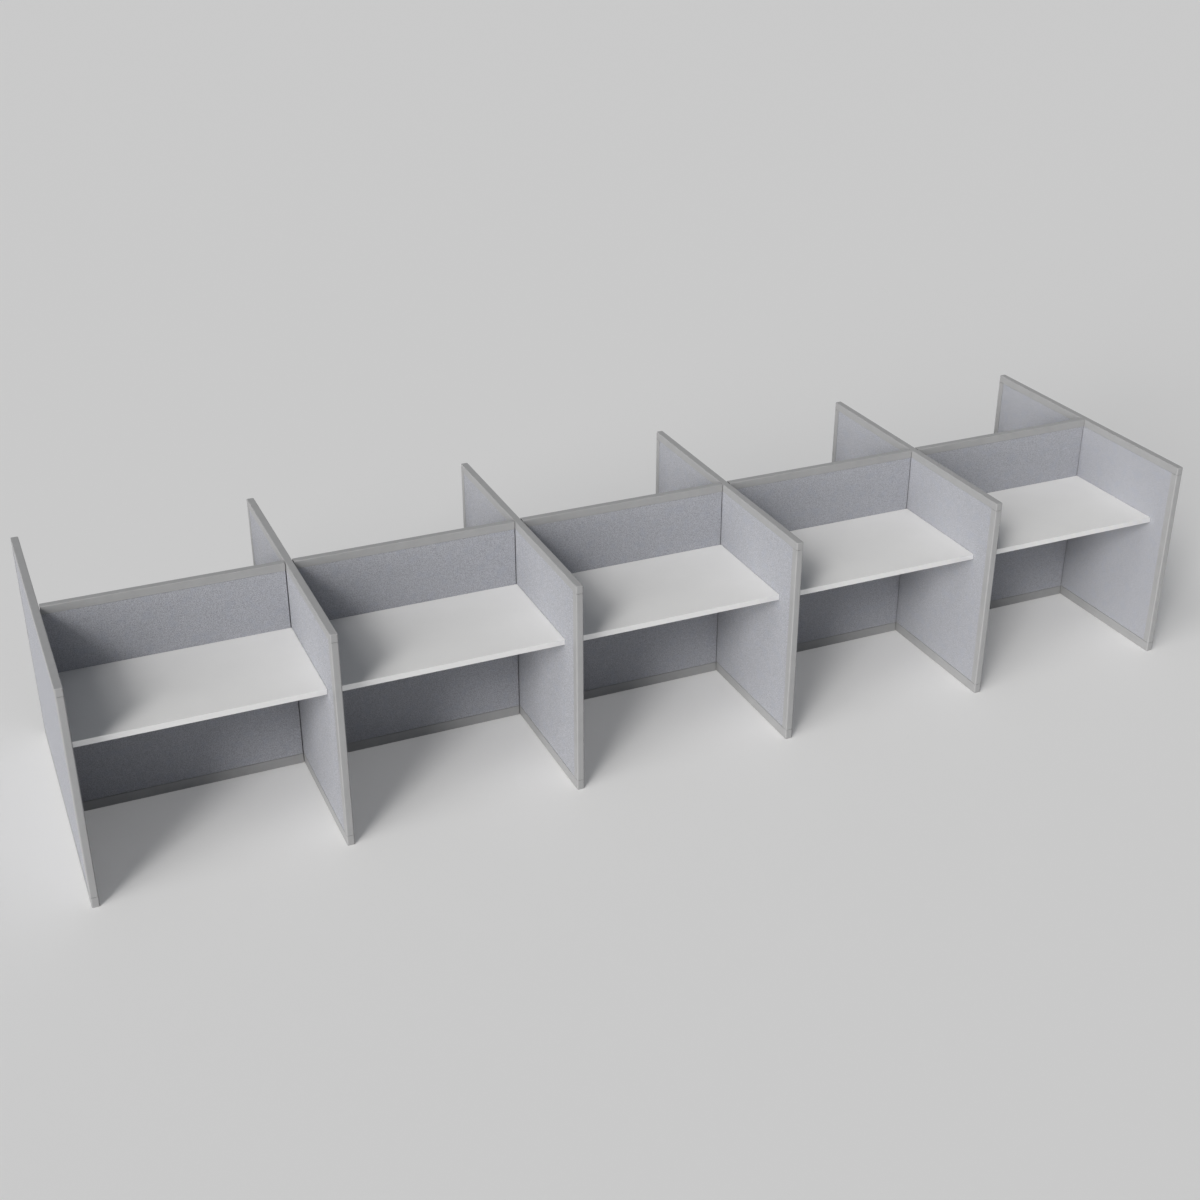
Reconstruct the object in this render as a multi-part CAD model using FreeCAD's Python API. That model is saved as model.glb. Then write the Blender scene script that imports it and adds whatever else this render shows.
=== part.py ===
import FreeCAD, Part
import math
import os

# Cubicle workstation, a back-to-back run of desks between fabric panels. Lengths are in millimetres.
# One long spine of panels runs along X. A full-depth wing panel crosses it at each end of every bay.
# The origin is on the floor under the middle of the run. The front row of desks faces -Y.

# The run
bay_count = 5
panel_height = 1066.8
panel_thickness = 35.0
spine_panel_length = 1066.8
wing_panel_length = 1524.0

# Steel frame inside each panel, of flat rectangular tube
frame_depth = 19.0
tube_width = 50.0
tube_wall = 1.5
post_foot_height = 10.0

# Fabric-covered boards on both faces of the frame
fabric_recess = 0.8
fabric_gap = 1.0
fabric_edge_radius = 2.0

# Top cap, end trim and base rail
top_cap_height = 38.0
end_trim_width = 38.0
trim_wall = 2.0
cap_edge_radius = 3.0
trim_inner_radius = 4.0
seam_gap = 1.8
base_rail_height = 50.0
base_rail_wall = 1.5
base_floor_gap = 1.0
base_notch_clearance = 0.3

# How far a bolt reaches past the tube wall that it is tapped into
bolt_reach = 3.0

# Self-tapping screws that hold the base rail up to the frame
base_screw_radius = 1.9
base_screw_length = 12.0
base_screw_head_radius = 4.0
base_screw_head_height = 2.5
base_screw_place_share = 0.25

# Point and cross recess of every pan-head screw
screw_point_length = 3.0
screw_point_radius = 0.5
recess_length = 4.4
recess_width = 1.1
recess_depth = 1.4

# Connector strip between a wing's face and the end of a spine panel
strip_thickness = 4.8
strip_width = 18.0
strip_end_margin = 40.0
hook_count = 4
hook_width = 5.0
hook_neck_height = 8.0
hook_lip_height = 10.0
hook_lip_thickness = 3.0
hook_clearance = 0.4
strip_bolt_radius = 3.0
strip_bolt_head_radius = 6.0
strip_bolt_head_height = 3.0

# Worksurface: a core board between two laminate sheets, with a strip of band on each edge
worksurface_top = 736.6
worksurface_depth = 609.6
worksurface_side_clearance = 0.5
worksurface_rear_clearance = 0.7
core_thickness = 25.4
laminate_thickness = 0.8
edge_band_thickness = 2.0
edge_band_radius = 0.8
edge_band_corner_radius = 1.5

# Angle bracket under each end of a worksurface
bracket_leg = 38.0
bracket_wall = 2.5
bracket_front_inset = 80.0
bracket_rear_inset = 50.0
bracket_inner_radius = 1.5
bracket_corner_radius = 8.0
bracket_hole_inset = 40.0
bracket_hole_count = 3
bracket_screw_setback = 24.0
bracket_bolt_radius = 3.0
bracket_bolt_washer_radius = 7.0
bracket_bolt_washer_thickness = 1.2
bracket_bolt_hex_size = 10.0
bracket_bolt_head_height = 4.5
wood_screw_radius = 2.1
wood_screw_length = 17.0
wood_screw_head_radius = 4.3
wood_screw_head_height = 2.2

# Levelling glide, screwed into a plug in the foot of a post
glide_foot_clearance = 2.0
glide_foot_height = 6.0
glide_foot_bevel = 1.5
glide_hex_size = 17.0
glide_stop_clearance = 0.3
glide_stem_radius = 5.0
glide_travel = 20.0
glide_stem_spare = 10.0
glide_stem_bevel = 1.0
glide_running_clearance = 0.08
glide_plug_height = 20.0

# Room around a bolt or screw in its hole, how far a cutting tool reaches past a face,
# and how near two places lie that count as the same
hole_clearance = 0.25
overrun = 5.0
same_place = 0.01

# Faces and levels that the pieces share
trim_face = panel_thickness / 2
fabric_face = trim_face - fabric_recess
frame_face = frame_depth / 2
corner_radius = trim_inner_radius + trim_wall
cap_bottom = panel_height - top_cap_height
frame_top = panel_height - trim_wall
fabric_low = base_rail_height + fabric_gap
fabric_high = cap_bottom - fabric_gap
spine_end_offset = fabric_face + strip_thickness
bay_pitch = spine_panel_length + 2 * spine_end_offset
worksurface_thickness = core_thickness + 2 * laminate_thickness
worksurface_underside = worksurface_top - worksurface_thickness
worksurface_rear = trim_face + worksurface_rear_clearance
worksurface_front = worksurface_rear + worksurface_depth
bracket_bolt_level = worksurface_underside - bracket_leg / 2
wing_count = bay_count + 1
wing_places = [(number - bay_count / 2) * bay_pitch for number in range(wing_count)]
bay_places = [(number - (bay_count - 1) / 2) * bay_pitch for number in range(bay_count)]
along_x = FreeCAD.Vector(1, 0, 0)
along_y = FreeCAD.Vector(0, 1, 0)
along_z = FreeCAD.Vector(0, 0, 1)
origin = FreeCAD.Vector(0, 0, 0)


def block(x_span, y_span, z_span):
    """A box between two places along each axis, given in either order."""
    low = [min(span) for span in (x_span, y_span, z_span)]
    size = [abs(span[1] - span[0]) for span in (x_span, y_span, z_span)]
    return Part.makeBox(size[0], size[1], size[2], FreeCAD.Vector(*low))


def rod(start, direction, length, radius):
    """A round bar from a start point."""
    return Part.makeCylinder(radius, length, FreeCAD.Vector(*start), direction)


def hex_bar(centre, direction, across_flats, height):
    """A hexagonal bar, such as a bolt's head, from its centre along a direction."""
    corner = FreeCAD.Vector(across_flats / math.sqrt(3), 0, 0)
    corners = [FreeCAD.Rotation(along_z, 60 * number).multVec(corner) for number in range(6)]
    bar = Part.Face(Part.makePolygon(corners + [corners[0]])).extrude(along_z * height)
    turn = FreeCAD.Rotation(along_z, direction)
    bar.Placement = FreeCAD.Placement(FreeCAD.Vector(*centre), turn)
    return bar


def edges_along(shape, direction):
    """The straight edges of a shape that run along a direction."""
    found = []
    for edge in shape.Edges:
        if edge.Curve.TypeId != "Part::GeomLine":
            continue
        run = edge.Vertexes[1].Point - edge.Vertexes[0].Point
        if run.cross(direction).Length < same_place:
            found.append(edge)
    return found


def edges_at(edges, direction, level):
    """Those of the edges that lie wholly at one level along a direction."""
    found = []
    for edge in edges:
        points = [edge.valueAt(edge.FirstParameter), edge.valueAt(edge.LastParameter), edge.CenterOfMass]
        if all(abs(point.dot(direction) - level) < same_place for point in points):
            found.append(edge)
    return found


def rounded_block(x_span, y_span, z_span, radius):
    """A box whose four vertical edges are rounded."""
    shape = block(x_span, y_span, z_span)
    return shape.makeFillet(radius, edges_along(shape, along_z))


def tube(x_span, y_span, z_span, direction):
    """A rectangular steel tube, open at both ends along its direction."""
    spans = [sorted(span) for span in (x_span, y_span, z_span)]
    inside = []
    for span, run in zip(spans, direction):
        grow = overrun if run else -tube_wall
        inside.append((span[0] - grow, span[1] + grow))
    return block(*spans).cut(block(*inside))


def drill(solid, holes):
    """A solid with the holes that reach it cut out."""
    near = [hole for hole in holes if hole.BoundBox.intersect(solid.BoundBox)]
    return solid.cut(near).Solids[0] if near else solid


def as_wing(shape, place):
    """A piece that was built along X, turned to run along Y and moved to a wing's place."""
    turned = shape.copy()
    turned.rotate(origin, along_z, 90)
    turned.translate(along_x * place)
    return turned


def as_spine(shape, place):
    """A piece that was built along X about the middle, moved to a spine panel's place."""
    moved = shape.copy()
    moved.translate(along_x * place)
    return moved


# Where the posts of each kind of panel stand, along the panel
wing_post_place = wing_panel_length / 2 - trim_wall - tube_width / 2
spine_post_place = spine_panel_length / 2 - tube_width / 2
wing_feet = [-wing_post_place, wing_post_place]
spine_feet = [-spine_post_place, spine_post_place]


def panel_frame(posts, feet):
    """Posts, and the three rails between each two neighbours. Only the posts with feet reach down."""
    levels = [
        (base_rail_height, base_rail_height + tube_width),
        (bracket_bolt_level - tube_width / 2, bracket_bolt_level + tube_width / 2),
        (frame_top - tube_width, frame_top),
    ]
    depth = (-frame_face, frame_face)
    tubes = []
    for post in posts:
        foot = post_foot_height if post in feet else base_rail_height
        span = (post - tube_width / 2, post + tube_width / 2)
        tubes.append(tube(span, depth, (foot, frame_top), along_z))
    for left, right in zip(posts, posts[1:]):
        span = (left + tube_width / 2, right - tube_width / 2)
        for level in levels:
            tubes.append(tube(span, depth, level, along_x))
    return tubes


def panel_cores(posts):
    """Honeycomb that fills each window of the frame."""
    mid_low = bracket_bolt_level - tube_width / 2
    mid_high = bracket_bolt_level + tube_width / 2
    windows = [(base_rail_height + tube_width, mid_low), (mid_high, frame_top - tube_width)]
    cores = []
    for left, right in zip(posts, posts[1:]):
        for window in windows:
            span = (left + tube_width / 2, right - tube_width / 2)
            cores.append(block(span, (-frame_face, frame_face), window))
    return cores


def fabric_board(length, side):
    """A board wrapped in fabric, on the side of the frame at +Y (1) or -Y (-1)."""
    y_span = (side * frame_face, side * fabric_face)
    board = block((-length / 2, length / 2), y_span, (fabric_low, fabric_high))
    outer_edges = edges_at(board.Edges, along_y, side * fabric_face)
    return board.makeFillet(fabric_edge_radius, outer_edges)


def top_cap(length, closed):
    """The channel over a panel's top edge. Lips at the foot of its legs grip the frame."""
    z_span = (cap_bottom, panel_height)
    cavity_z = (cap_bottom - overrun, frame_top)
    inner_face = trim_face - trim_wall
    if closed:
        outer = rounded_block((-length / 2, length / 2), (-trim_face, trim_face), z_span, corner_radius)
        reach = length / 2 - trim_wall
        cavity = rounded_block((-reach, reach), (-inner_face, inner_face), cavity_z, trim_inner_radius)
        outer = outer.makeFillet(cap_edge_radius, edges_at(outer.Edges, along_z, panel_height))
    else:
        outer = block((-length / 2, length / 2), (-trim_face, trim_face), z_span)
        reach = length / 2
        cavity = block((-length, length), (-inner_face, inner_face), cavity_z)
        long_edges = edges_at(edges_along(outer, along_x), along_z, panel_height)
        outer = outer.makeFillet(cap_edge_radius, long_edges)
    cap = outer.cut(cavity)
    for side in (-1, 1):
        lip_y = (side * frame_face, side * inner_face)
        cap = cap.fuse(block((-reach, reach), lip_y, (cap_bottom, cap_bottom + trim_wall)))
    return cap.removeSplitter().Solids[0]


def end_trim(end):
    """The upright channel over a wing's end, at +X (1) or -X (-1) before the wing is turned."""
    tip = end * wing_panel_length / 2
    mouth = tip - end * end_trim_width
    z_span = (base_rail_height + seam_gap, cap_bottom - seam_gap)
    inner_face = trim_face - trim_wall
    outer = block((mouth, tip), (-trim_face, trim_face), z_span)
    outer = outer.makeFillet(corner_radius, edges_at(edges_along(outer, along_z), along_x, tip))
    web = tip - end * trim_wall
    cavity = block(
        (mouth - end * overrun, web), (-inner_face, inner_face), (z_span[0] - overrun, z_span[1] + overrun)
    )
    cavity = cavity.makeFillet(trim_inner_radius, edges_at(edges_along(cavity, along_z), along_x, web))
    trim = outer.cut(cavity)
    for side in (-1, 1):
        lip_y = (side * frame_face, side * inner_face)
        trim = trim.fuse(block((mouth, mouth + end * trim_wall), lip_y, z_span))
    return trim.removeSplitter().Solids[0]


def base_screw_places(posts):
    """Where the screws of a base rail stand along the panel."""
    length = posts[-1] - posts[0]
    return [-length * base_screw_place_share, length * base_screw_place_share]


def base_rail(length, posts, feet, closed):
    """The channel along a panel's foot, notched around the posts that reach the floor."""
    z_span = (base_floor_gap, base_rail_height)
    cavity_z = (base_floor_gap - overrun, base_rail_height - base_rail_wall)
    inner_face = trim_face - base_rail_wall
    if closed:
        reach = length / 2 - base_rail_wall
        outer = rounded_block((-length / 2, length / 2), (-trim_face, trim_face), z_span, corner_radius)
        cavity = rounded_block(
            (-reach, reach), (-inner_face, inner_face), cavity_z, corner_radius - base_rail_wall
        )
    else:
        reach = length
        outer = block((-length / 2, length / 2), (-trim_face, trim_face), z_span)
        cavity = block((-reach, reach), (-inner_face, inner_face), cavity_z)
    rail = outer.cut(cavity)
    web_z = (cavity_z[1] - overrun, base_rail_height + overrun)
    notch_y = (-frame_face - base_notch_clearance, frame_face + base_notch_clearance)
    for foot in feet:
        end = math.copysign(1, foot)
        inner_side = foot - end * (tube_width / 2 + base_notch_clearance)
        rail = rail.cut(block((inner_side, end * reach), notch_y, web_z))
    for place in base_screw_places(posts):
        start = (place, 0, cavity_z[1] - overrun)
        rail = rail.cut(rod(start, along_z, 2 * overrun, base_screw_radius + hole_clearance))
    return rail.Solids[0]


def pan_head_screw(x, y, seat, radius, length, head_radius, head_height):
    """A screw that points up from its seat. Its head hangs below, with a cross recess."""
    low_face = seat - head_height
    shank = rod((x, y, seat), along_z, length - screw_point_length, radius)
    point_base = FreeCAD.Vector(x, y, seat + length - screw_point_length)
    point = Part.makeCone(radius, screw_point_radius, screw_point_length, point_base)
    head = rod((x, y, low_face), along_z, head_height, head_radius)
    head = head.makeFillet(head_height / 2, edges_at(head.Edges, along_z, low_face))
    screw = head.fuse([shank, point]).removeSplitter()
    recess_z = (low_face - overrun, low_face + recess_depth)
    for half_x, half_y in ((recess_length / 2, recess_width / 2), (recess_width / 2, recess_length / 2)):
        screw = screw.cut(block((x - half_x, x + half_x), (y - half_y, y + half_y), recess_z))
    return screw.Solids[0]


def base_screw(place):
    """A screw up through the base rail into the frame's bottom rail."""
    seat = base_rail_height - base_rail_wall
    return pan_head_screw(
        place, 0, seat, base_screw_radius, base_screw_length, base_screw_head_radius, base_screw_head_height
    )


# Connector strips, hooks and bolts
strip_low = base_rail_height + strip_end_margin
strip_high = cap_bottom - strip_end_margin
hook_spacing = (strip_high - strip_low) / hook_count
hook_levels = [strip_low + hook_spacing * (number + 0.5) for number in range(hook_count)]
strip_bolt_levels = [strip_low + hook_spacing * number for number in range(1, hook_count)]


def strip_bolt_head(wing, side, level):
    """The countersunk head of a connector bolt, flush with the strip's far face."""
    return Part.makeCone(
        strip_bolt_head_radius,
        strip_bolt_radius,
        strip_bolt_head_height,
        FreeCAD.Vector(wing + side * spine_end_offset, 0, level),
        -along_x * side,
    )


def connector_strip(wing, side):
    """The strip on a wing's face, with the hooks that the spine panel's post drops on to."""
    near_face = wing + side * fabric_face
    far_face = wing + side * spine_end_offset
    inside_wall = far_face + side * (tube_wall + hook_clearance)
    lip_face = inside_wall + side * hook_lip_thickness
    width = (-strip_width / 2, strip_width / 2)
    hook_y = (-hook_width / 2, hook_width / 2)
    strip = block((near_face, far_face), width, (strip_low, strip_high))
    for level in hook_levels:
        neck_low = level - hook_neck_height
        strip = strip.fuse(block((far_face, lip_face), hook_y, (neck_low, level)))
        strip = strip.fuse(block((inside_wall, lip_face), hook_y, (neck_low, level + hook_lip_height)))
    hole_length = spine_end_offset + overrun
    for level in strip_bolt_levels:
        hole = rod((wing, 0, level), along_x * side, hole_length, strip_bolt_radius + hole_clearance)
        strip = strip.cut(hole).cut(strip_bolt_head(wing, side, level))
    return strip.removeSplitter().Solids[0]


def strip_bolt(wing, side, level):
    """A countersunk bolt through the strip and the fabric board into the wing's middle post."""
    far_face = wing + side * spine_end_offset
    length = spine_end_offset - frame_face + tube_wall + bolt_reach
    shank = rod((far_face, 0, level), -along_x * side, length, strip_bolt_radius)
    return shank.fuse(strip_bolt_head(wing, side, level)).removeSplitter().Solids[0]


def hook_slots(panel_middle):
    """The slots in both end posts of a spine panel that the hooks pass through."""
    slots = []
    half_width = hook_width / 2 + hook_clearance
    for side in (-1, 1):
        end = panel_middle + side * spine_panel_length / 2
        wall = (end + side * overrun, end - side * (tube_wall + hook_clearance))
        for level in hook_levels:
            low = level - hook_neck_height - hook_lip_height - hook_clearance
            slots.append(block(wall, (-half_width, half_width), (low, level)))
    return slots


# Worksurfaces and the brackets under them. A row is the side of the spine: -1 front, 1 back
half_bay = bay_pitch / 2
worksurface_half_width = half_bay - trim_face - worksurface_side_clearance
bracket_high_y = worksurface_front - bracket_front_inset
bracket_low_y = worksurface_rear + bracket_rear_inset
first_hole_y = bracket_low_y + bracket_hole_inset
last_hole_y = bracket_high_y - bracket_hole_inset
bracket_hole_step = (last_hole_y - first_hole_y) / (bracket_hole_count - 1)
bracket_hole_places = [first_hole_y + bracket_hole_step * number for number in range(bracket_hole_count)]


def screw_places(bay):
    """Where the wood screws of one worksurface stand, with the row left out."""
    places = []
    for side in (-1, 1):
        x = bay + side * (half_bay - fabric_face - bracket_screw_setback)
        for y in bracket_hole_places:
            places.append((x, y))
    return places


def worksurface_span(bay, row, inset):
    """The plan of a worksurface, drawn in on all four edges by an inset."""
    half = worksurface_half_width - inset
    return (bay - half, bay + half), (row * (worksurface_rear + inset), row * (worksurface_front - inset))


def pilot_holes(bay, row):
    """Upright holes for the wood screws of one worksurface."""
    low = worksurface_underside - bracket_wall
    radius = wood_screw_radius + hole_clearance
    depth = wood_screw_length + hole_clearance
    return [rod((x, row * y, low), along_z, depth, radius) for x, y in screw_places(bay)]


def worksurface_core(bay, row):
    """The core board, with a blind pilot hole for each wood screw."""
    x_span, y_span = worksurface_span(bay, row, edge_band_thickness)
    low = worksurface_underside + laminate_thickness
    return drill(block(x_span, y_span, (low, low + core_thickness)), pilot_holes(bay, row))


def laminate_sheets(bay, row):
    """The laminate on the top face of the core and the backing sheet on its underside."""
    x_span, y_span = worksurface_span(bay, row, edge_band_thickness)
    top = block(x_span, y_span, (worksurface_top - laminate_thickness, worksurface_top))
    backer = block(x_span, y_span, (worksurface_underside, worksurface_underside + laminate_thickness))
    return [top, drill(backer, pilot_holes(bay, row))]


def edge_bands(bay, row):
    """The strips glued to the edges of the core. The two at its sides stand between the other two."""
    x_span, y_span = worksurface_span(bay, row, 0)
    inner_x_span, inner_y_span = worksurface_span(bay, row, edge_band_thickness)
    z_span = (worksurface_underside, worksurface_top)
    strips = []
    for outer, inner in zip(y_span, inner_y_span):
        strip = block(x_span, (outer, inner), z_span)
        corners = edges_at(edges_along(strip, along_z), along_y, outer)
        strip = strip.makeFillet(edge_band_corner_radius, corners)
        glued_edges = edges_at(strip.Edges, along_y, inner)
        rims = []
        for level in z_span:
            for edge in edges_at(strip.Edges, along_z, level):
                if not any(edge.isSame(glued) for glued in glued_edges):
                    rims.append(edge)
        strips.append(strip.makeFillet(edge_band_radius, rims))
    for outer, inner in zip(x_span, inner_x_span):
        strip = block((outer, inner), inner_y_span, z_span)
        rims = edges_at(edges_along(strip, along_y), along_x, outer)
        strips.append(strip.makeFillet(edge_band_radius, rims))
    return strips


def side_bracket(wing, side, row):
    """A steel angle, bolted to the wing's mid rail and screwed up into the worksurface."""
    face = wing + side * fabric_face
    inner_face = face + side * bracket_wall
    free_edge = face + side * bracket_leg
    top = worksurface_underside
    flange_low = top - bracket_wall
    leg_low = top - bracket_leg
    y_span = (row * bracket_low_y, row * bracket_high_y)

    leg = block((face, inner_face), y_span, (leg_low, top))
    leg = leg.makeFillet(bracket_corner_radius, edges_at(edges_along(leg, along_x), along_z, leg_low))
    flange = block((face, free_edge), y_span, (flange_low, top))
    free_corners = edges_at(edges_along(flange, along_z), along_x, free_edge)
    flange = flange.makeFillet(bracket_corner_radius, free_corners)

    angle = leg.fuse(flange).removeSplitter()
    outer_bend = edges_at(edges_at(edges_along(angle, along_y), along_x, face), along_z, top)
    angle = angle.makeFillet(bracket_inner_radius + bracket_wall, outer_bend)
    inner_bend = edges_at(edges_at(edges_along(angle, along_y), along_x, inner_face), along_z, flange_low)
    angle = angle.makeFillet(bracket_inner_radius, inner_bend)

    bolt_hole_length = fabric_face + bracket_wall + overrun
    screw_x = face + side * bracket_screw_setback
    holes = []
    for y in bracket_hole_places:
        bolt_start = (wing, row * y, bracket_bolt_level)
        holes.append(rod(bolt_start, along_x * side, bolt_hole_length, bracket_bolt_radius + hole_clearance))
        screw_start = (screw_x, row * y, flange_low - overrun)
        holes.append(rod(screw_start, along_z, 2 * overrun, wood_screw_radius + hole_clearance))
    return drill(angle, holes)


def bracket_bolt(wing, side, y):
    """A hex-head flange bolt through the bracket and the fabric board into the wing's mid rail."""
    seat = wing + side * (fabric_face + bracket_wall)
    outward = along_x * side
    centre = (seat, y, bracket_bolt_level)
    length = bracket_wall + fabric_face - frame_face + tube_wall + bolt_reach
    shank = rod(centre, -outward, length, bracket_bolt_radius)
    washer = rod(centre, outward, bracket_bolt_washer_thickness, bracket_bolt_washer_radius)
    head = hex_bar(centre, outward, bracket_bolt_hex_size, bracket_bolt_head_height)
    return shank.fuse([washer, head]).removeSplitter().Solids[0]


def wood_screw(x, y):
    """A screw up through the bracket's flange into the worksurface."""
    seat = worksurface_underside - bracket_wall
    return pan_head_screw(
        x, y, seat, wood_screw_radius, wood_screw_length, wood_screw_head_radius, wood_screw_head_height
    )


def wing_holes(wing, sides):
    """Holes for the bolts that enter a wing from each side that has a bay."""
    holes = []
    for side in sides:
        reach = fabric_face + overrun
        for level in strip_bolt_levels:
            holes.append(rod((wing, 0, level), along_x * side, reach, strip_bolt_radius + hole_clearance))
        for row in (-1, 1):
            for y in bracket_hole_places:
                start = (wing, row * y, bracket_bolt_level)
                holes.append(rod(start, along_x * side, reach, bracket_bolt_radius + hole_clearance))
    return holes


def glide_plug(place):
    """The plug in the foot of a post, with the hole that the glide's stem screws into."""
    half_width = tube_width / 2 - tube_wall
    half_depth = frame_face - tube_wall
    z_span = (post_foot_height, post_foot_height + glide_plug_height)
    plug = block((place - half_width, place + half_width), (-half_depth, half_depth), z_span)
    start = (place, 0, post_foot_height - overrun)
    thread_radius = glide_stem_radius + glide_running_clearance
    return plug.cut(rod(start, along_z, glide_plug_height + 2 * overrun, thread_radius)).Solids[0]


def glide(place):
    """A levelling glide: a round foot, a hexagon for the spanner and a threaded stem."""
    foot_radius = trim_face - base_rail_wall - glide_foot_clearance
    foot = rod((place, 0, 0), along_z, glide_foot_height, foot_radius)
    foot = foot.makeChamfer(glide_foot_bevel, edges_at(foot.Edges, along_z, glide_foot_height))
    hexagon_top = post_foot_height - glide_stop_clearance
    hexagon_height = hexagon_top - glide_foot_height
    hexagon = hex_bar((place, 0, glide_foot_height), along_z, glide_hex_size, hexagon_height)
    stem_top = post_foot_height + glide_plug_height + glide_travel + glide_stem_spare
    stem = rod((place, 0, hexagon_top), along_z, stem_top - hexagon_top, glide_stem_radius)
    stem = stem.makeChamfer(glide_stem_bevel, edges_at(stem.Edges, along_z, stem_top))
    return foot.fuse([hexagon, stem]).removeSplitter().Solids[0]


def base_screw_holes(posts):
    """Holes for the base rail's screws in the lower wall of the frame's bottom rail."""
    low = base_rail_height - overrun
    length = overrun + tube_wall + bolt_reach
    radius = base_screw_radius + hole_clearance
    return [rod((place, 0, low), along_z, length, radius) for place in base_screw_places(posts)]


# Assemble each kind of piece over the whole run
wing_posts = [-wing_post_place, 0, wing_post_place]
spine_posts = spine_feet
board_length = wing_panel_length - 2 * (end_trim_width + fabric_gap)
nodes = {}


def add(node, pieces):
    """Put solids in a node, which is made when it is first named."""
    nodes.setdefault(node, []).extend(pieces)


for number, place in enumerate(wing_places, start=1):
    sides = []
    if number > 1:
        sides.append(-1)
    if number < wing_count:
        sides.append(1)
    holes = wing_holes(place, sides)
    tubes = [drill(piece, base_screw_holes(wing_posts)) for piece in panel_frame(wing_posts, wing_feet)]
    add("wing_frames", [drill(as_wing(piece, place), holes) for piece in tubes])
    add("honeycomb_cores", [as_wing(core, place) for core in panel_cores(wing_posts)])
    boards = [as_wing(fabric_board(board_length, side), place) for side in (1, -1)]
    add(f"wing_{number}_fabric", [drill(board, holes) for board in boards])
    add("wing_top_caps", [as_wing(top_cap(wing_panel_length, True), place)])
    add("wing_end_trims", [as_wing(end_trim(end), place) for end in (-1, 1)])
    add("wing_base_rails", [as_wing(base_rail(wing_panel_length, wing_posts, wing_feet, True), place)])
    add("base_rail_screws", [as_wing(base_screw(x), place) for x in base_screw_places(wing_posts)])
    add("glide_plugs", [as_wing(glide_plug(foot), place) for foot in wing_feet])
    for name, foot in zip(("front", "back"), wing_feet):
        add(f"wing_{number}_{name}_glide", [as_wing(glide(foot), place)])
    for side in sides:
        add("connector_strips", [connector_strip(place, side)])
        add("connector_bolts", [strip_bolt(place, side, level) for level in strip_bolt_levels])
        for row in (-1, 1):
            add("side_brackets", [side_bracket(place, side, row)])
            add("bracket_bolts", [bracket_bolt(place, side, row * y) for y in bracket_hole_places])

for number, place in enumerate(bay_places, start=1):
    tubes = [drill(piece, base_screw_holes(spine_posts)) for piece in panel_frame(spine_posts, spine_feet)]
    add("spine_frames", [drill(as_spine(piece, place), hook_slots(place)) for piece in tubes])
    add("honeycomb_cores", [as_spine(core, place) for core in panel_cores(spine_posts)])
    boards = [as_spine(fabric_board(spine_panel_length, side), place) for side in (-1, 1)]
    add(f"spine_{number}_fabric", boards)
    add("spine_top_caps", [as_spine(top_cap(spine_panel_length, False), place)])
    rail = base_rail(spine_panel_length, spine_posts, spine_feet, False)
    add("spine_base_rails", [as_spine(rail, place)])
    add("base_rail_screws", [as_spine(base_screw(x), place) for x in base_screw_places(spine_posts)])
    add("glide_plugs", [as_spine(glide_plug(foot), place) for foot in spine_feet])
    for name, foot in zip(("left", "right"), spine_feet):
        add(f"spine_{number}_{name}_glide", [as_spine(glide(foot), place)])
    for name, row in (("front", -1), ("back", 1)):
        add(f"{name}_worksurface_{number}", [worksurface_core(place, row)])
        add("worksurface_laminates", laminate_sheets(place, row))
        add("worksurface_edge_bands", edge_bands(place, row))
        add("worksurface_screws", [wood_screw(x, row * y) for x, y in screw_places(place)])

os.makedirs("parts", exist_ok=True)
for node, pieces in nodes.items():
    shape = pieces[0] if len(pieces) == 1 else Part.makeCompound(pieces)
    shape.exportStep(f"parts/{node}.step")
    print(node, "solids:", len(pieces), "valid:", shape.isValid())
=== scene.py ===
import math

import bmesh
import bpy
from mathutils import Matrix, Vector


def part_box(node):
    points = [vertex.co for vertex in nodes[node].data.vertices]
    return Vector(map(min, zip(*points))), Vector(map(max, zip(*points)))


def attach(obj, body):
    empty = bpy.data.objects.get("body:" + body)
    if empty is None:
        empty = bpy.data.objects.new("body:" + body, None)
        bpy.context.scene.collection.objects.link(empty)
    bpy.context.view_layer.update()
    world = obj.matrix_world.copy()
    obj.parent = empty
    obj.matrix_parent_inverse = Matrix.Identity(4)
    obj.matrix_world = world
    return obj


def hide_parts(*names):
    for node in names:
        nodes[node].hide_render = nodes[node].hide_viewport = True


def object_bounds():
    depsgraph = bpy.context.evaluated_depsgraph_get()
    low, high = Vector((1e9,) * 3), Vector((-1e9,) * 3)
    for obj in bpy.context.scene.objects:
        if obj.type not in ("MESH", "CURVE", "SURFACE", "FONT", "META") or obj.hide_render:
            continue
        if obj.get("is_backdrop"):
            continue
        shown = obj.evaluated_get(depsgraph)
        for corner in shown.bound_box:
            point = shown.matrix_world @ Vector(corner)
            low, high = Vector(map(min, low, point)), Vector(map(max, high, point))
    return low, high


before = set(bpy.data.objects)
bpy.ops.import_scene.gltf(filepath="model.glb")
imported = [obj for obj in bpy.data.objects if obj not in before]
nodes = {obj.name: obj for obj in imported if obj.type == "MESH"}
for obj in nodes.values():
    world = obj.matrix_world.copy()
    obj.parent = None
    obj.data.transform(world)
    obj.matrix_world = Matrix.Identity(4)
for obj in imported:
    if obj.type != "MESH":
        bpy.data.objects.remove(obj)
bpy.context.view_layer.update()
millimetre = 0.001

# Panel frames
# The skeleton inside every panel: rectangular steel tubes, welded at their ends and powder-coated charcoal.
# The boards, caps and rails hide nearly all of it.


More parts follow.
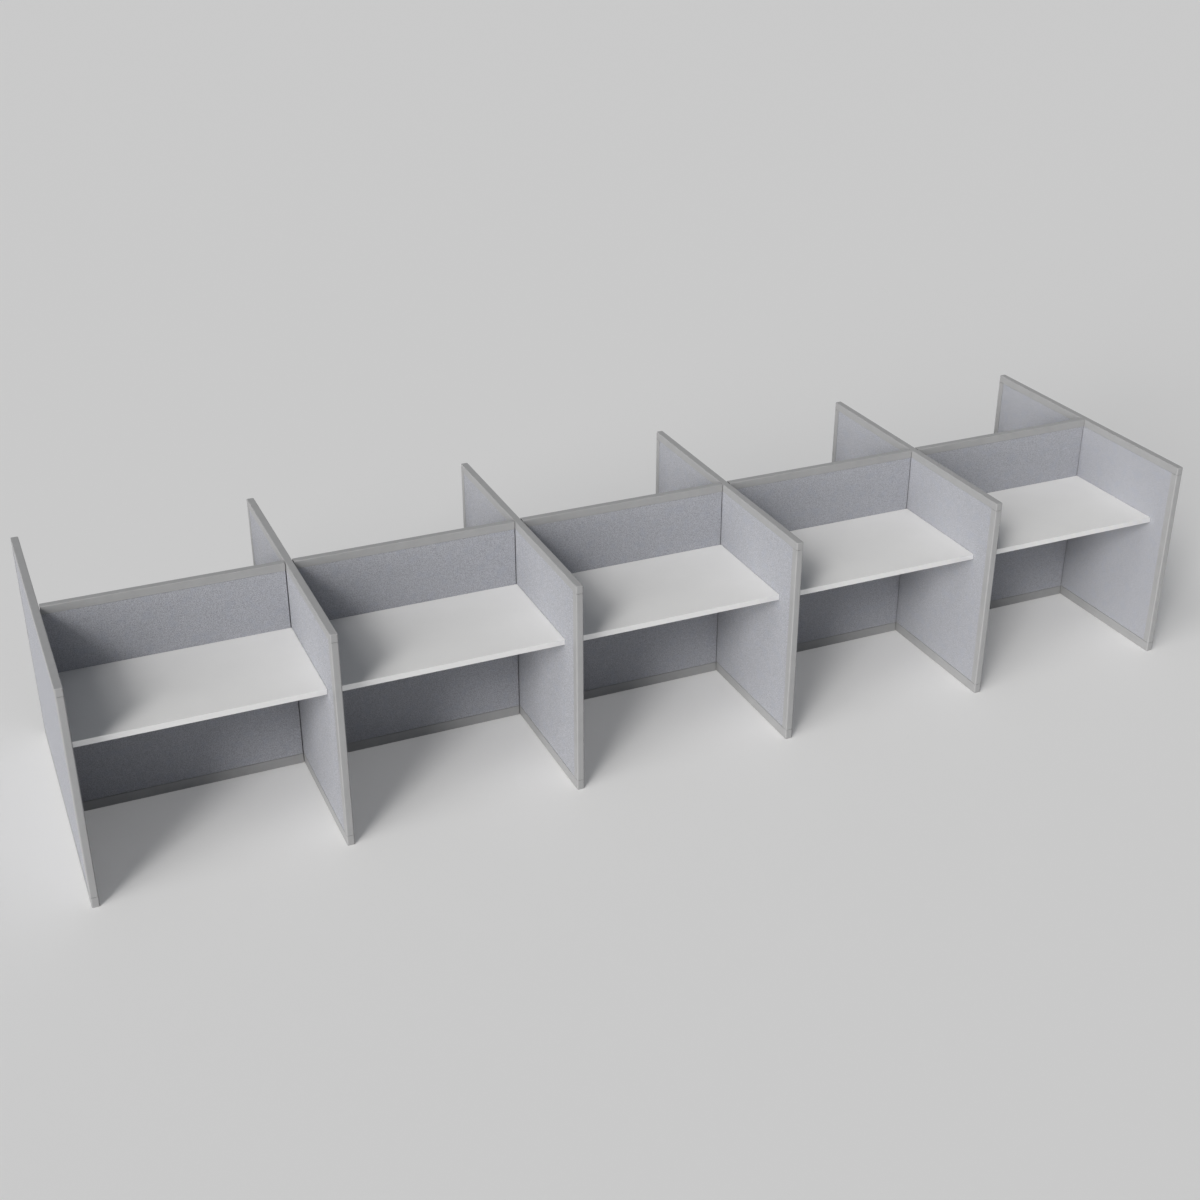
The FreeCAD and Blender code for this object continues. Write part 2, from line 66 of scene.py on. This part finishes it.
class Value:
    """A number that varies over a surface. Sums of such values become Math nodes of their finish."""

    def __init__(self, finish, socket):
        self.finish = finish
        self.socket = socket

    def math(self, operation, first, second=0.0):
        return self.finish.node("ShaderNodeMath", {"operation": operation}, {0: first, 1: second})

    def __add__(self, other):
        return self.math("ADD", self, other)

    __radd__ = __add__

    def __sub__(self, other):
        return self.math("SUBTRACT", self, other)

    def __rsub__(self, other):
        return self.math("SUBTRACT", other, self)

    def __mul__(self, other):
        return self.math("MULTIPLY", self, other)

    __rmul__ = __mul__

    def __truediv__(self, other):
        return self.math("DIVIDE", self, other)

    def __abs__(self):
        return self.math("ABSOLUTE", self)

    def sine(self):
        return self.math("SINE", self)

    def floor(self):
        return self.math("FLOOR", self)

    def ramp(self, start, end):
        """0 where the value is at start, 1 where it is at end, and smooth between."""
        settings = {"interpolation_type": "SMOOTHSTEP"}
        limits = {"Value": self, "From Min": start, "From Max": end}
        return self.finish.node("ShaderNodeMapRange", settings, limits)


class Finish:
    """A procedural material, built up node by node around its Principled shader."""

    def __init__(self, name, roughness=0.5, metallic=0.0, specular=0.5):
        self.material = bpy.data.materials.new(name)
        self.material.use_nodes = True
        self.tree = self.material.node_tree
        self.shader = self.tree.nodes["Principled BSDF"]
        self.set("Roughness", roughness)
        self.set("Metallic", metallic)
        self.set("Specular IOR Level", specular)
        place = self.node("ShaderNodeTexCoord", output="Object")
        self.place = place
        axes = [self.node("ShaderNodeSeparateXYZ", {}, {0: place}, axis) for axis in "XYZ"]
        self.x, self.y, self.z = axes

    def node(self, kind, settings=None, inputs=None, output=0):
        """Any node: its settings are made first, then its sockets are given values or links."""
        node = self.tree.nodes.new(kind)
        for name, setting in (settings or {}).items():
            setattr(node, name, setting)
        for name, given in (inputs or {}).items():
            if isinstance(given, Value):
                self.tree.links.new(given.socket, node.inputs[name])
            else:
                node.inputs[name].default_value = given
        return Value(self, node.outputs[output])

    def set(self, name, given):
        """Gives one of the shader's own sockets a value or a link."""
        if isinstance(given, Value):
            self.tree.links.new(given.socket, self.shader.inputs[name])
        else:
            self.shader.inputs[name].default_value = given

    def joined(self, x, y, z):
        """Three values as one place, for a texture to be read at."""
        return self.node("ShaderNodeCombineXYZ", {}, {0: x, 1: y, 2: z})

    def noise(self, size, detail, place=None):
        """Smooth random values about 0.5, with patches of a size in metres."""
        inputs = {"Vector": place or self.place, "Scale": 1 / size, "Detail": detail}
        return self.node("ShaderNodeTexNoise", {}, inputs)

    def mix(self, share, first, second):
        """A colour between two others. A plain colour is given as three numbers."""
        colours = [c if isinstance(c, Value) else (*c, 1.0) for c in (first, second)]
        inputs = {0: share, 6: colours[0], 7: colours[1]}
        return self.node("ShaderNodeMix", {"data_type": "RGBA"}, inputs, output=2)

    def bump(self, height, distance):
        """Raises the surface by a height from 0 to 1, times a distance in metres."""
        inputs = {"Strength": 1.0, "Distance": distance, "Height": height}
        self.set("Normal", self.node("ShaderNodeBump", {}, inputs))

    def paint(self, *names):
        """Gives the finish to CAD nodes."""
        for name in names:
            nodes[name].data.materials.clear()
            nodes[name].data.materials.append(self.material)


def powder_coat(name, colour, shade, grain=0.7 * millimetre):
    """Baked powder paint: a fine orange-peel skin, with a slightly darker shade in soft patches."""
    patch_size = 60 * millimetre
    skin_depth = 0.02 * millimetre
    mean_roughness = 0.45
    finish = Finish(name, specular=0.3)
    speckle = finish.noise(grain, 3.0)
    patches = finish.noise(patch_size, 2.0)
    darker = tuple(channel * shade for channel in colour)
    tone = (0.6 * speckle + 0.4 * patches).ramp(0.3, 0.7)
    finish.set("Base Color", finish.mix(tone, darker, colour))
    finish.set("Roughness", mean_roughness + 0.12 * (speckle - 0.5) + 0.08 * (patches - 0.5))
    finish.bump(speckle, skin_depth)
    return finish


charcoal = (0.055, 0.056, 0.060)
powder_coat("charcoal_powder_coat", charcoal, 0.85).paint("wing_frames", "spine_frames")

# Honeycomb cores
# Expanded kraft paper in the windows of the frames, which stiffens the boards glued over it.
# The cut ends of its cells face the boards.


def cell_walls(finish, across, up, size):
    """How near a place lies to the wall of the nearest hexagonal cell: 1 on the wall, 0 inside."""
    inputs = {"Vector": finish.joined(across, up, 0.0), "Scale": 1 / size, "Randomness": 0.35}
    distance = finish.node("ShaderNodeTexVoronoi", {"feature": "DISTANCE_TO_EDGE"}, inputs, "Distance")
    return 1 - distance.ramp(0.02, 0.10)


cell_size = 14 * millimetre
cell_depth = 1.0 * millimetre
cell_shadow = (0.08, 0.05, 0.03)
dark_kraft = (0.30, 0.20, 0.11)
light_kraft = (0.48, 0.35, 0.21)
kraft = Finish("kraft_honeycomb", roughness=0.85, specular=0.25)
kraft_walls = cell_walls(kraft, kraft.x + kraft.y, kraft.z, cell_size)
kraft_fibres = kraft.noise(2 * millimetre, 4.0)
kraft_paper = kraft.mix(kraft_fibres, dark_kraft, light_kraft)
kraft.set("Base Color", kraft.mix(kraft_walls, cell_shadow, kraft_paper))
kraft.bump(kraft_walls, cell_depth)
kraft.paint("honeycomb_cores")

# Fabric-covered boards
# Tackable boards, each wrapped in one piece of plain-woven panel cloth in a heathered blue-grey.
# They are pressed on to both faces of the frame, with the trims standing just proud of them.

thread_pitch = 1.5 * millimetre
thread_wander = 0.8 * millimetre
yarn_length = 30 * millimetre
fleck_size = 3.5 * millimetre
fibre_size = 0.4 * millimetre
blue_patch_size = 50 * millimetre
wander_size = 25 * millimetre
fabric_depth = 0.5 * millimetre
dark_yarn = (0.293, 0.299, 0.325)
light_yarn = (0.506, 0.516, 0.559)
blue_yarn = (0.352, 0.376, 0.451)
shade_between_yarns = (0.244, 0.250, 0.272)
fabric = Finish("heathered_panel_fabric", roughness=0.9, specular=0.2)
fabric.set("Sheen Weight", 0.10)
fabric.set("Sheen Roughness", 0.5)
wander = (fabric.noise(wander_size, 1.0) - 0.5) * thread_wander
across = fabric.x + fabric.y + wander
up = fabric.z + wander
warp = (across * (math.pi / thread_pitch)).sine()
weft = (up * (math.pi / thread_pitch)).sine()
over = 0.5 + 0.5 * (warp * weft)
weave = abs(warp) * over + abs(weft) * (1 - over)

# Each yarn has its own tone, which changes slowly along its length
yarn_step = 3.7
warp_number = (across / thread_pitch).floor()
weft_number = (up / thread_pitch).floor()
warp_place = fabric.joined(warp_number * yarn_step, up / yarn_length, 0.0)
weft_place = fabric.joined(across / yarn_length, weft_number * yarn_step, 5.0)
warp_tone = fabric.noise(1.0, 1.0, warp_place)
weft_tone = fabric.noise(1.0, 1.0, weft_place)
yarn_tone = warp_tone * over + weft_tone * (1 - over)
fleck = fabric.noise(fleck_size, 1.0)
tone = (0.25 * yarn_tone + 0.75 * fleck).ramp(0.32, 0.68)
yarn = fabric.mix(tone, dark_yarn, light_yarn)
bluish = fabric.noise(blue_patch_size, 1.0, fabric.joined(across, up, 3.0)).ramp(0.50, 0.70)
yarn = fabric.mix(0.25 * bluish, yarn, blue_yarn)
# Painted shade: the colour is darkened in the gaps between the yarns, where shade would fall
shaded = fabric.mix(weave.ramp(0.0, 0.55), shade_between_yarns, yarn)
fabric.set("Base Color", fabric.mix(0.5, yarn, shaded))
fibres = fabric.noise(fibre_size, 2.0)
fabric.bump(0.5 * weave + 0.15 * fibres + 3.0 * fleck, fabric_depth)
fabric.paint(*[name for name in nodes if name.endswith("_fabric")])

# Top caps, end trims and base rails
# Folded and extruded trims in a mid-grey powder coat, which close the panels' edges on every side.
# Caps and end trims grip the frame with lips, and the base rails are screwed up to it.

trim_grey = (0.383, 0.385, 0.390)
trim = powder_coat("grey_trim_paint", trim_grey, 0.90, grain=0.9 * millimetre)
trim.paint("wing_top_caps", "spine_top_caps", "wing_end_trims", "wing_base_rails", "spine_base_rails")

# Screws and bolts
# Zinc-plated steel: countersunk bolts in the connector strips, hex-head bolts in the brackets, and
# pan-head screws in the base rails and under the worksurfaces.


def bare_metal(name, colour, roughness):
    """Plated or brushed steel, a little uneven in tone and polish."""
    finish = Finish(name, metallic=1.0)
    cloud = finish.noise(5 * millimetre, 3.0)
    scratches = finish.noise(0.5 * millimetre, 2.0)
    darker = tuple(channel * 0.8 for channel in colour)
    finish.set("Base Color", finish.mix(cloud, darker, colour))
    finish.set("Roughness", roughness + 0.15 * (cloud - 0.5) + 0.10 * (scratches - 0.5))
    finish.bump(scratches, 0.02 * millimetre)
    return finish


zinc_colour = (0.62, 0.63, 0.64)
zinc = bare_metal("zinc_plate", zinc_colour, 0.36)
zinc.paint("base_rail_screws", "connector_bolts", "bracket_bolts", "worksurface_screws", "glide_plugs")

# Side brackets and connector strips
# Pressed steel, powder-coated grey. The brackets carry both ends of every worksurface, bolted to the wings.
# The connector strips fill the joints beside the wings, where their edges show as thin dark lines.

bracket_grey = (0.21, 0.21, 0.21)
powder_coat("grey_bracket_paint", bracket_grey, 0.88).paint("side_brackets", "connector_strips")

# Worksurfaces
# Particle board between two sheets of matte white laminate, with 2 mm strips of satin band glued to its
# edges. They lie on the side brackets, and reach from wing to wing.

chip_size = 2.5 * millimetre
chip_depth = 0.15 * millimetre
dark_chips = (0.32, 0.22, 0.13)
light_chips = (0.60, 0.46, 0.30)
board = Finish("particle_board", roughness=0.85, specular=0.2)
chip_inputs = {"Vector": board.place, "Scale": 1 / chip_size}
chips = board.node("ShaderNodeTexVoronoi", {}, chip_inputs, "Color")
chip_tone = board.node("ShaderNodeSeparateColor", {}, {0: chips})
board.set("Base Color", board.mix(chip_tone, dark_chips, light_chips))
board.bump(chip_tone, chip_depth)
board.paint(*[name for name in nodes if "_worksurface_" in name])

laminate_depth = 0.012 * millimetre
laminate_shade = (0.815, 0.813, 0.807)
laminate_white = (0.835, 0.833, 0.827)
laminate = Finish("white_laminate", specular=0.2)
pores = laminate.noise(0.6 * millimetre, 3.0)
wiped = laminate.noise(150 * millimetre, 2.0)
laminate_tone = (0.5 * pores + 0.5 * wiped).ramp(0.3, 0.7)
laminate.set("Base Color", laminate.mix(laminate_tone, laminate_shade, laminate_white))
laminate.set("Roughness", 0.48 + 0.10 * (wiped - 0.5) + 0.06 * (pores - 0.5))
laminate.bump(pores, laminate_depth)
laminate.paint("worksurface_laminates")

streak_length = 150 * millimetre
streak_height = 0.6 * millimetre
band_depth = 0.01 * millimetre
band_shade = (0.87, 0.87, 0.87)
band_white = (0.91, 0.91, 0.91)
band = Finish("white_edge_band", metallic=0.45)
streak_place = band.joined(band.x / streak_length, band.y / streak_length, band.z / streak_height)
streaks = band.noise(1.0, 1.0, streak_place)
band_speckle = band.noise(0.7 * millimetre, 2.0)
band_tone = (0.6 * streaks + 0.4 * band_speckle).ramp(0.3, 0.7)
band.set("Base Color", band.mix(band_tone, band_shade, band_white))
band.set("Roughness", 0.34 + 0.08 * (streaks - 0.5))
band.bump(streaks, band_depth)
band.paint("worksurface_edge_bands")

# Levelling glides
# Turned steel glides that screw up into a plug in the foot of each post, to level the run on the floor.
# Each has a round foot, a hexagon for the spanner and a rolled thread, and all of them are alike.

foot_height = 6.0 * millimetre
foot_bevel = 1.5 * millimetre
foot_edge = 0.6 * millimetre
hexagon_size = 17.0 * millimetre
hexagon_top = 9.7 * millimetre
hexagon_bevel = 0.5 * millimetre
stem_radius = 5.0 * millimetre
stem_point = 1.5 * millimetre
screw_pitch = 1.5 * millimetre
thread_depth = 0.61 * screw_pitch
root_radius = stem_radius - thread_depth
steps_in_turn = 18
merge_distance = 0.001 * millimetre
sharp_angle = math.radians(25)


def turned(shape, outline):
    """Adds the solid that an outline of radii and heights sweeps round the Z axis."""
    corners = [shape.verts.new((radius, 0, height)) for radius, height in outline]
    sides = [shape.edges.new(pair) for pair in zip(corners, corners[1:])]
    turn = {"cent": (0, 0, 0), "axis": (0, 0, 1), "angle": math.tau, "steps": 3 * steps_in_turn}
    bmesh.ops.spin(shape, geom=corners + sides, use_merge=True, **turn)


def threaded_glide(foot_radius, height):
    """The mesh of one glide, standing on the origin."""
    shape = bmesh.new()
    corner_radius = hexagon_size / math.sqrt(3)
    size = {"radius1": corner_radius, "radius2": corner_radius, "depth": hexagon_top - foot_height}
    hexagon_middle = (foot_height + hexagon_top) / 2
    place = Matrix.Translation((0, 0, hexagon_middle)) @ Matrix.Rotation(math.pi / 6, 4, "Z")
    bmesh.ops.create_cone(shape, cap_ends=True, segments=6, matrix=place, **size)
    edge = {"affect": "EDGES", "segments": 2, "profile": 0.5, "material": -1}
    bmesh.ops.bevel(shape, geom=list(shape.edges), offset=hexagon_bevel, **edge)
    rim = [(foot_radius - foot_edge, 0), (foot_radius, foot_edge), (foot_radius, foot_height - foot_bevel)]
    turned(shape, [(0, 0), *rim, (foot_radius - foot_bevel, foot_height), (0, foot_height)])
    shoulder = height - stem_point
    base = [(0, hexagon_middle), (root_radius, hexagon_middle)]
    turned(shape, [*base, (root_radius, shoulder), (root_radius / 2, height), (0, height)])
    bmesh.ops.remove_doubles(shape, verts=shape.verts, dist=merge_distance)

    # The thread is one ridge, wound round the stem from inside the hexagon to the point
    ridge = [(0.9 * root_radius, -0.5), (stem_radius, -0.06), (stem_radius, 0.06), (0.9 * root_radius, 0.5)]
    section = [shape.verts.new((radius, 0, hexagon_top + rise * screw_pitch)) for radius, rise in ridge]
    face = shape.faces.new(section)
    turns = int((shoulder - hexagon_top) / screw_pitch)
    winding = {"cent": (0, 0, 0), "axis": (0, 0, 1), "dvec": (0, 0, screw_pitch / steps_in_turn)}
    geometry = [*section, *face.edges, face]
    bmesh.ops.spin(shape, geom=geometry, angle=turns * math.tau, steps=turns * steps_in_turn, **winding)
    bmesh.ops.recalc_face_normals(shape, faces=shape.faces)
    for face in shape.faces:
        face.smooth = True
    for edge in shape.edges:
        edge.smooth = edge.calc_face_angle(0) < sharp_angle
    mesh = bpy.data.meshes.new("threaded_glide")
    shape.to_mesh(mesh)
    shape.free()
    return mesh


steel_colour = (0.50, 0.50, 0.50)
glide_steel = bare_metal("glide_steel", steel_colour, 0.40)
glide_names = [name for name in nodes if name.endswith("_glide")]
low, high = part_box(glide_names[0])
pattern = threaded_glide((high.x - low.x) / 2, high.z - low.z)
pattern.materials.append(glide_steel.material)
for name in glide_names:
    low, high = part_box(name)
    foot_middle = ((low.x + high.x) / 2, (low.y + high.y) / 2, low.z)
    mesh = pattern.copy()
    mesh.transform(Matrix.Translation(foot_middle))
    glide = bpy.data.objects.new(name.replace("_glide", "_threaded_glide"), mesh)
    bpy.context.scene.collection.objects.link(glide)
    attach(glide, name)
    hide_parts(name)

# Room
# A plain pale floor and background, a tall soft box at the left and front, and an even light from all
# round. The camera stands at the photograph's viewpoint.


class Surround(Finish):
    """The world's shader, built with the methods of a finish."""

    def __init__(self, name):
        self.world = bpy.data.worlds.new(name)
        self.world.use_nodes = True
        self.tree = self.world.node_tree
        self.shader = self.tree.nodes["Background"]


def shows(finish):
    """1 for the rays that show the background: the camera's own, and those off metal or through glass."""
    ways = ("Camera", "Glossy", "Transmission")
    return sum(finish.node("ShaderNodeLightPath", output=f"Is {way} Ray") for way in ways)


floor_size = 120.0
floor_grey = (0.73, 0.73, 0.73, 1.0)
unlit = (0.0, 0.0, 0.0)
glow_seen = (0.107, 0.107, 0.107)
floor_mesh = bmesh.new()
bmesh.ops.create_grid(floor_mesh, x_segments=1, y_segments=1, size=floor_size / 2)
floor = bpy.data.objects.new("floor", bpy.data.meshes.new("floor"))
floor_mesh.to_mesh(floor.data)
floor_mesh.free()
bpy.context.scene.collection.objects.link(floor)
floor_finish = Finish("pale_floor", roughness=0.9, specular=0.1)
floor_finish.set("Base Color", floor_grey)
floor_finish.set("Emission Color", floor_finish.mix(shows(floor_finish), unlit, glow_seen))
floor_finish.set("Emission Strength", 1.0)
floor.data.materials.append(floor_finish.material)
floor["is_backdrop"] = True


def soft_sun(name, azimuth, elevation, spread, level):
    """One pane of the tall soft box. Its azimuth is in degrees from -Y towards -X."""
    lamp = bpy.data.lights.new(name, "SUN")
    lamp.color = key_tint
    lamp.energy = level * math.pi
    lamp.angle = math.radians(spread)
    holder = bpy.data.objects.new(name, lamp)
    holder.rotation_euler = (math.radians(90 - elevation), 0, math.radians(-azimuth))
    bpy.context.scene.collection.objects.link(holder)


key_tint = (1.016, 1.0, 0.977)
soft_sun("soft_box_low", 63, 7, 16, 0.319)
soft_sun("soft_box_middle", 49, 21, 17, 0.213)
soft_sun("soft_box_upper", 46, 34, 15, 0.374)
soft_sun("soft_box_top", 70, 52, 26, 0.199)

light_all_round = (0.164, 0.172, 0.183)
background_seen = (0.590, 0.590, 0.590)
studio = Surround("studio")
studio.set("Color", studio.mix(shows(studio), light_all_round, background_seen))
bpy.context.scene.world = studio.world

camera_data = bpy.data.cameras.new("camera")
camera_data.lens = 50
camera_data.sensor_width = 36
camera = bpy.data.objects.new("camera", camera_data)
camera.location = (-3.086, -6.779, 4.380)
camera.rotation_euler = (math.radians(62.612), 0, math.radians(-23.591))
bpy.context.scene.collection.objects.link(camera)
bpy.context.scene.camera = camera
bpy.context.scene.view_settings.view_transform = "Standard"

low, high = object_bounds()
